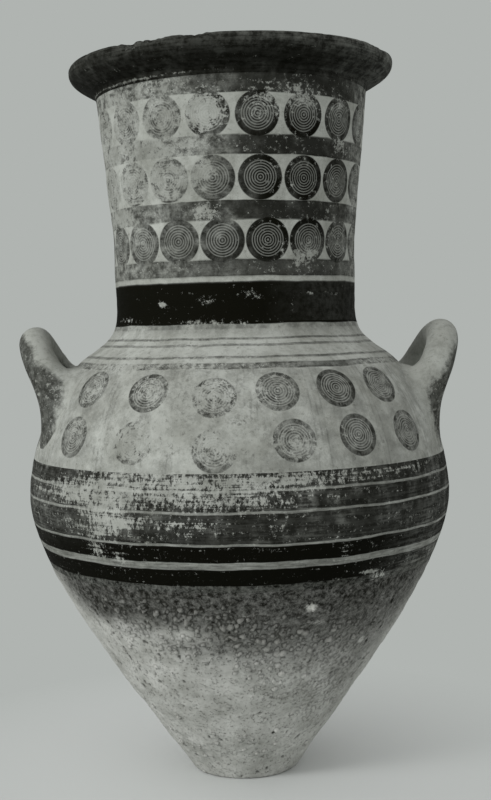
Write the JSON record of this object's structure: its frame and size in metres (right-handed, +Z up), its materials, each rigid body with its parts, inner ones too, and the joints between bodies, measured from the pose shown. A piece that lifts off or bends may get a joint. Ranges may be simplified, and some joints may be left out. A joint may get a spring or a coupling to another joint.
{
  "type": "greek pithos",
  "caption": "Tall clay storage jar with a small flat base, swelling belly, wide neck, everted rim and loop handles on the shoulder, painted with dark bands and compass-drawn discs.",
  "frame": {"origin": "centre of the flat base, on the ground", "axes": "+Z up along the jar's axis; the two handles lie along X; -Y is the pictured front"},
  "size_m": [0.4982, 0.4778, 0.8],
  "materials": {
    "bare_clay": "unglazed, coarse, lime crusted",
    "banded_clay": "matt dark paint bands on pale slip, worn",
    "slipped_clay": "pale slip, smoothed, worn",
    "patterned_clay": "matt dark discs and bands on pale slip, worn",
    "dark_painted_clay": "matt dark paint, chipped at the lip",
    "handle_clay": "pale slip with worn dark paint on the outside"
  },
  "bodies": {
    "root": {"base_slab": "bare_clay", "foot_ring": "bare_clay", "lower_ring": "bare_clay", "belly_ring": "banded_clay", "shoulder_ring": "slipped_clay", "neck": "patterned_clay", "rim": "dark_painted_clay", "base_luting_coil": "bare_clay", "foot_luting_coil": "bare_clay", "lower_luting_coil": "bare_clay", "belly_luting_coil": "bare_clay", "neck_luting_coil": "bare_clay", "handle_left": "handle_clay", "handle_right": "handle_clay", "handle_collars_left": "handle_clay", "handle_collars_right": "handle_clay"}
  },
  "joints": []
}
